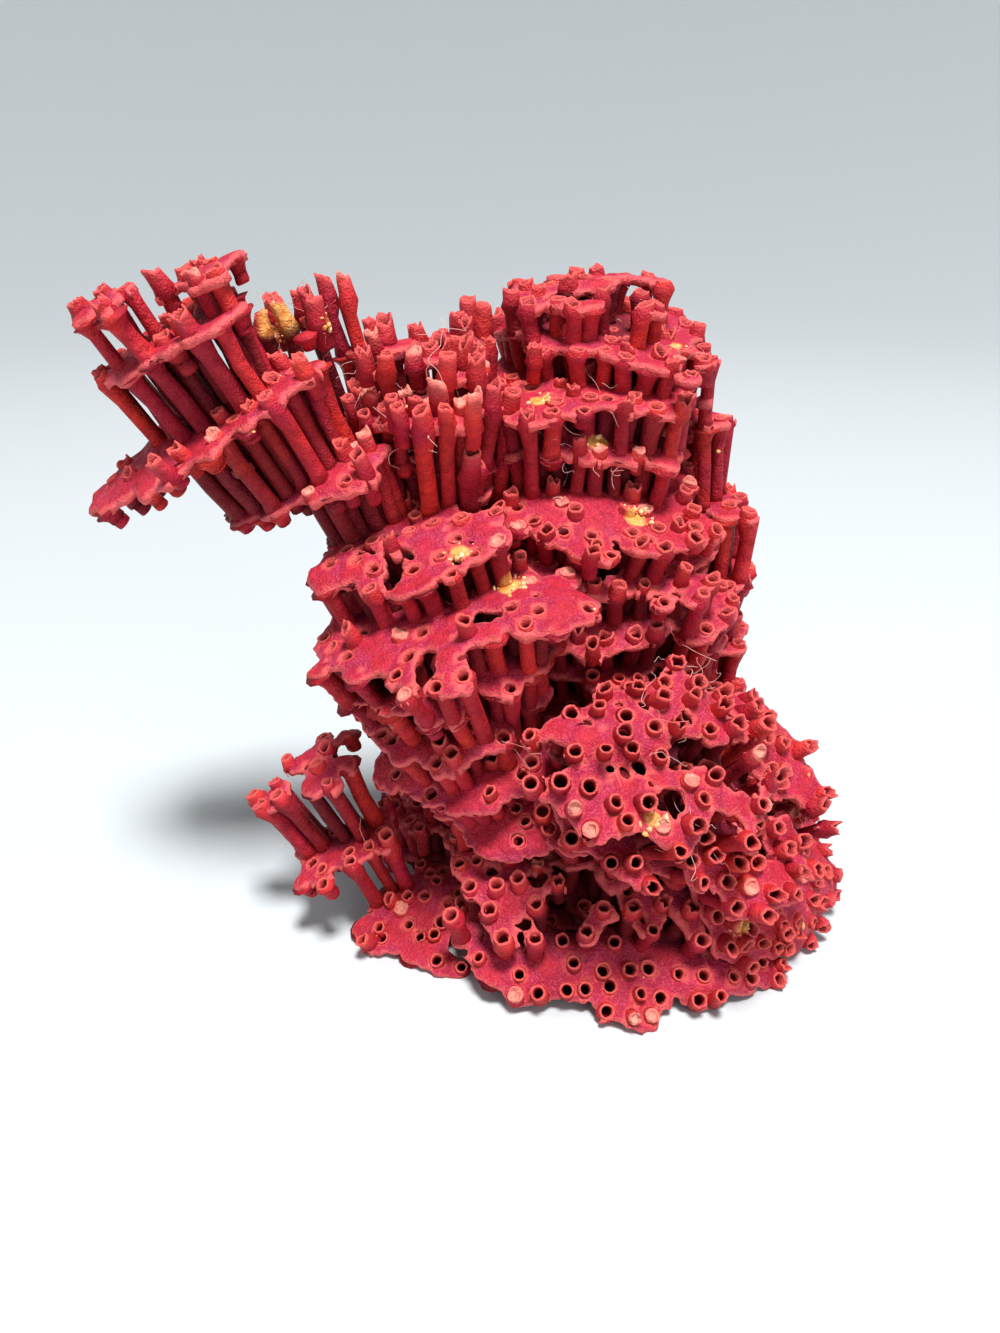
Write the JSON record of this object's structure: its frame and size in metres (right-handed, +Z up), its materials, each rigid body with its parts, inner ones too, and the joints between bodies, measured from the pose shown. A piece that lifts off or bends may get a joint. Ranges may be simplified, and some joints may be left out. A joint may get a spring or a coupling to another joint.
{
  "type": "organ pipe coral skeleton",
  "caption": "Dried organ pipe coral colony: a wide mound rising to a column, a crown and a long arm, all thin red tubes standing between curved platforms.",
  "frame": {"origin": "middle of the colony's bounding box at the ground", "axes": "+Z up from the broken base; +X to the right and +Y away from someone who looks at the side that the front shelf is on; the arm reaches to -X"},
  "size_m": [0.0962, 0.0614, 0.0872],
  "materials": {
    "base_mound": "matte limestone",
    "left_lobe": "matte limestone",
    "front_shelf": "matte limestone",
    "column": "matte limestone",
    "crown": "matte limestone",
    "arm": "matte limestone"
  },
  "bodies": {
    "root": {"base_mound": "base_mound", "left_lobe": "left_lobe", "front_shelf": "front_shelf", "column": "column", "crown": "crown", "arm": "arm"}
  },
  "joints": []
}
